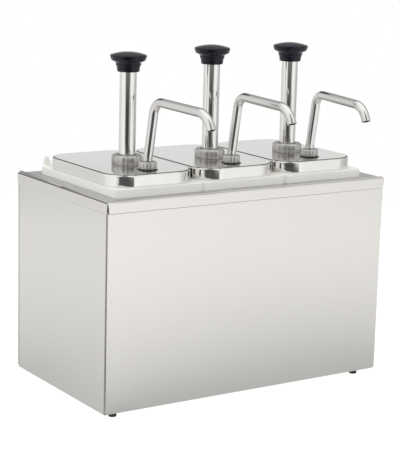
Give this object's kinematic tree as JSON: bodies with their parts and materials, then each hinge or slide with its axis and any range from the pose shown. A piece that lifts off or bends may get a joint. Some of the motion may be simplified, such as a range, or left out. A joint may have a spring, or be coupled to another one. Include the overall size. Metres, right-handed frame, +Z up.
{
  "type": "condiment dispenser",
  "caption": "Counter condiment dispenser: a brushed steel cabinet holds lift-out plastic jars in a row, each under a steel lid with a plunger pump and a bent spout",
  "frame": {"origin": "bottom centre of the overall box, on the surface that the feet stand on", "axes": "+Z up, -Y towards the user, where the spouts point, +X to the user's right"},
  "size_m": [0.3682, 0.2765, 0.3872],
  "materials": {
    "brushed_sheet": "brushed stainless steel sheet",
    "polished_steel": "polished stainless steel",
    "satin_steel": "satin cast stainless steel",
    "spring_steel": "drawn stainless wire",
    "white_plastic": "white moulded plastic",
    "black_plastic": "glossy black moulded plastic",
    "seal_rubber": "black rubber",
    "foot_rubber": "black rubber"
  },
  "bodies": {
    "cabinet": {"front_panel": "brushed_sheet", "rear_panel": "brushed_sheet", "left_panel": "brushed_sheet", "right_panel": "brushed_sheet", "base_plate": "brushed_sheet", "top_cap": "brushed_sheet", "foot_front_left": "foot_rubber", "foot_front_right": "foot_rubber", "foot_rear_left": "foot_rubber", "foot_rear_right": "foot_rubber", "foot_screw_front_left": "satin_steel", "foot_screw_front_right": "satin_steel", "foot_screw_rear_left": "satin_steel", "foot_screw_rear_right": "satin_steel"},
    "jar_left": {"jar_left": "white_plastic"},
    "pump_left": {"lid_left": "polished_steel", "pump_collar_left": "satin_steel", "pump_washer_left": "seal_rubber", "pump_cylinder_left": "polished_steel", "valve_body_left": "satin_steel", "inlet_ball_left": "polished_steel", "spout_left": "polished_steel", "spout_nut_left": "satin_steel", "spout_gasket_left": "seal_rubber", "return_spring_left": "spring_steel"},
    "plunger_left": {"knob_left": "black_plastic", "plunger_sleeve_left": "polished_steel", "piston_rod_left": "satin_steel", "piston_seal_left": "seal_rubber"},
    "jar_middle": {"jar_middle": "white_plastic"},
    "pump_middle": {"lid_middle": "polished_steel", "pump_collar_middle": "satin_steel", "pump_washer_middle": "seal_rubber", "pump_cylinder_middle": "polished_steel", "valve_body_middle": "satin_steel", "inlet_ball_middle": "polished_steel", "spout_middle": "polished_steel", "spout_nut_middle": "satin_steel", "spout_gasket_middle": "seal_rubber", "return_spring_middle": "spring_steel"},
    "plunger_middle": {"knob_middle": "black_plastic", "plunger_sleeve_middle": "polished_steel", "piston_rod_middle": "satin_steel", "piston_seal_middle": "seal_rubber"},
    "jar_right": {"jar_right": "white_plastic"},
    "pump_right": {"lid_right": "polished_steel", "pump_collar_right": "satin_steel", "pump_washer_right": "seal_rubber", "pump_cylinder_right": "polished_steel", "valve_body_right": "satin_steel", "inlet_ball_right": "polished_steel", "spout_right": "polished_steel", "spout_nut_right": "satin_steel", "spout_gasket_right": "seal_rubber", "return_spring_right": "spring_steel"},
    "plunger_right": {"knob_right": "black_plastic", "plunger_sleeve_right": "polished_steel", "piston_rod_right": "satin_steel", "piston_seal_right": "seal_rubber"}
  },
  "joints": [
    {"name": "lift_jar_left", "type": "slide", "parent": "cabinet", "child": "jar_left", "axis": [0, 0, 1], "range_m": [0, 0.21]},
    {"name": "lift_pump_left", "type": "slide", "parent": "jar_left", "child": "pump_left", "axis": [0, 0, 1], "range_m": [0, 0.2]},
    {"name": "press_knob_left", "type": "slide", "parent": "pump_left", "child": "plunger_left", "axis": [0, 0, -1], "range_m": [0, 0.0752], "stiffness_N_per_m": 150, "springref_m": -0.0548, "deforming": ["return_spring_left"]},
    {"name": "lift_jar_middle", "type": "slide", "parent": "cabinet", "child": "jar_middle", "axis": [0, 0, 1], "range_m": [0, 0.21]},
    {"name": "lift_pump_middle", "type": "slide", "parent": "jar_middle", "child": "pump_middle", "axis": [0, 0, 1], "range_m": [0, 0.2]},
    {"name": "press_knob_middle", "type": "slide", "parent": "pump_middle", "child": "plunger_middle", "axis": [0, 0, -1], "range_m": [0, 0.08], "stiffness_N_per_m": 150, "springref_m": -0.05, "deforming": ["return_spring_middle"]},
    {"name": "lift_jar_right", "type": "slide", "parent": "cabinet", "child": "jar_right", "axis": [0, 0, 1], "range_m": [0, 0.21]},
    {"name": "lift_pump_right", "type": "slide", "parent": "jar_right", "child": "pump_right", "axis": [0, 0, 1], "range_m": [0, 0.2]},
    {"name": "press_knob_right", "type": "slide", "parent": "pump_right", "child": "plunger_right", "axis": [0, 0, -1], "range_m": [0, 0.08], "stiffness_N_per_m": 150, "springref_m": -0.05, "deforming": ["return_spring_right"]}
  ]
}
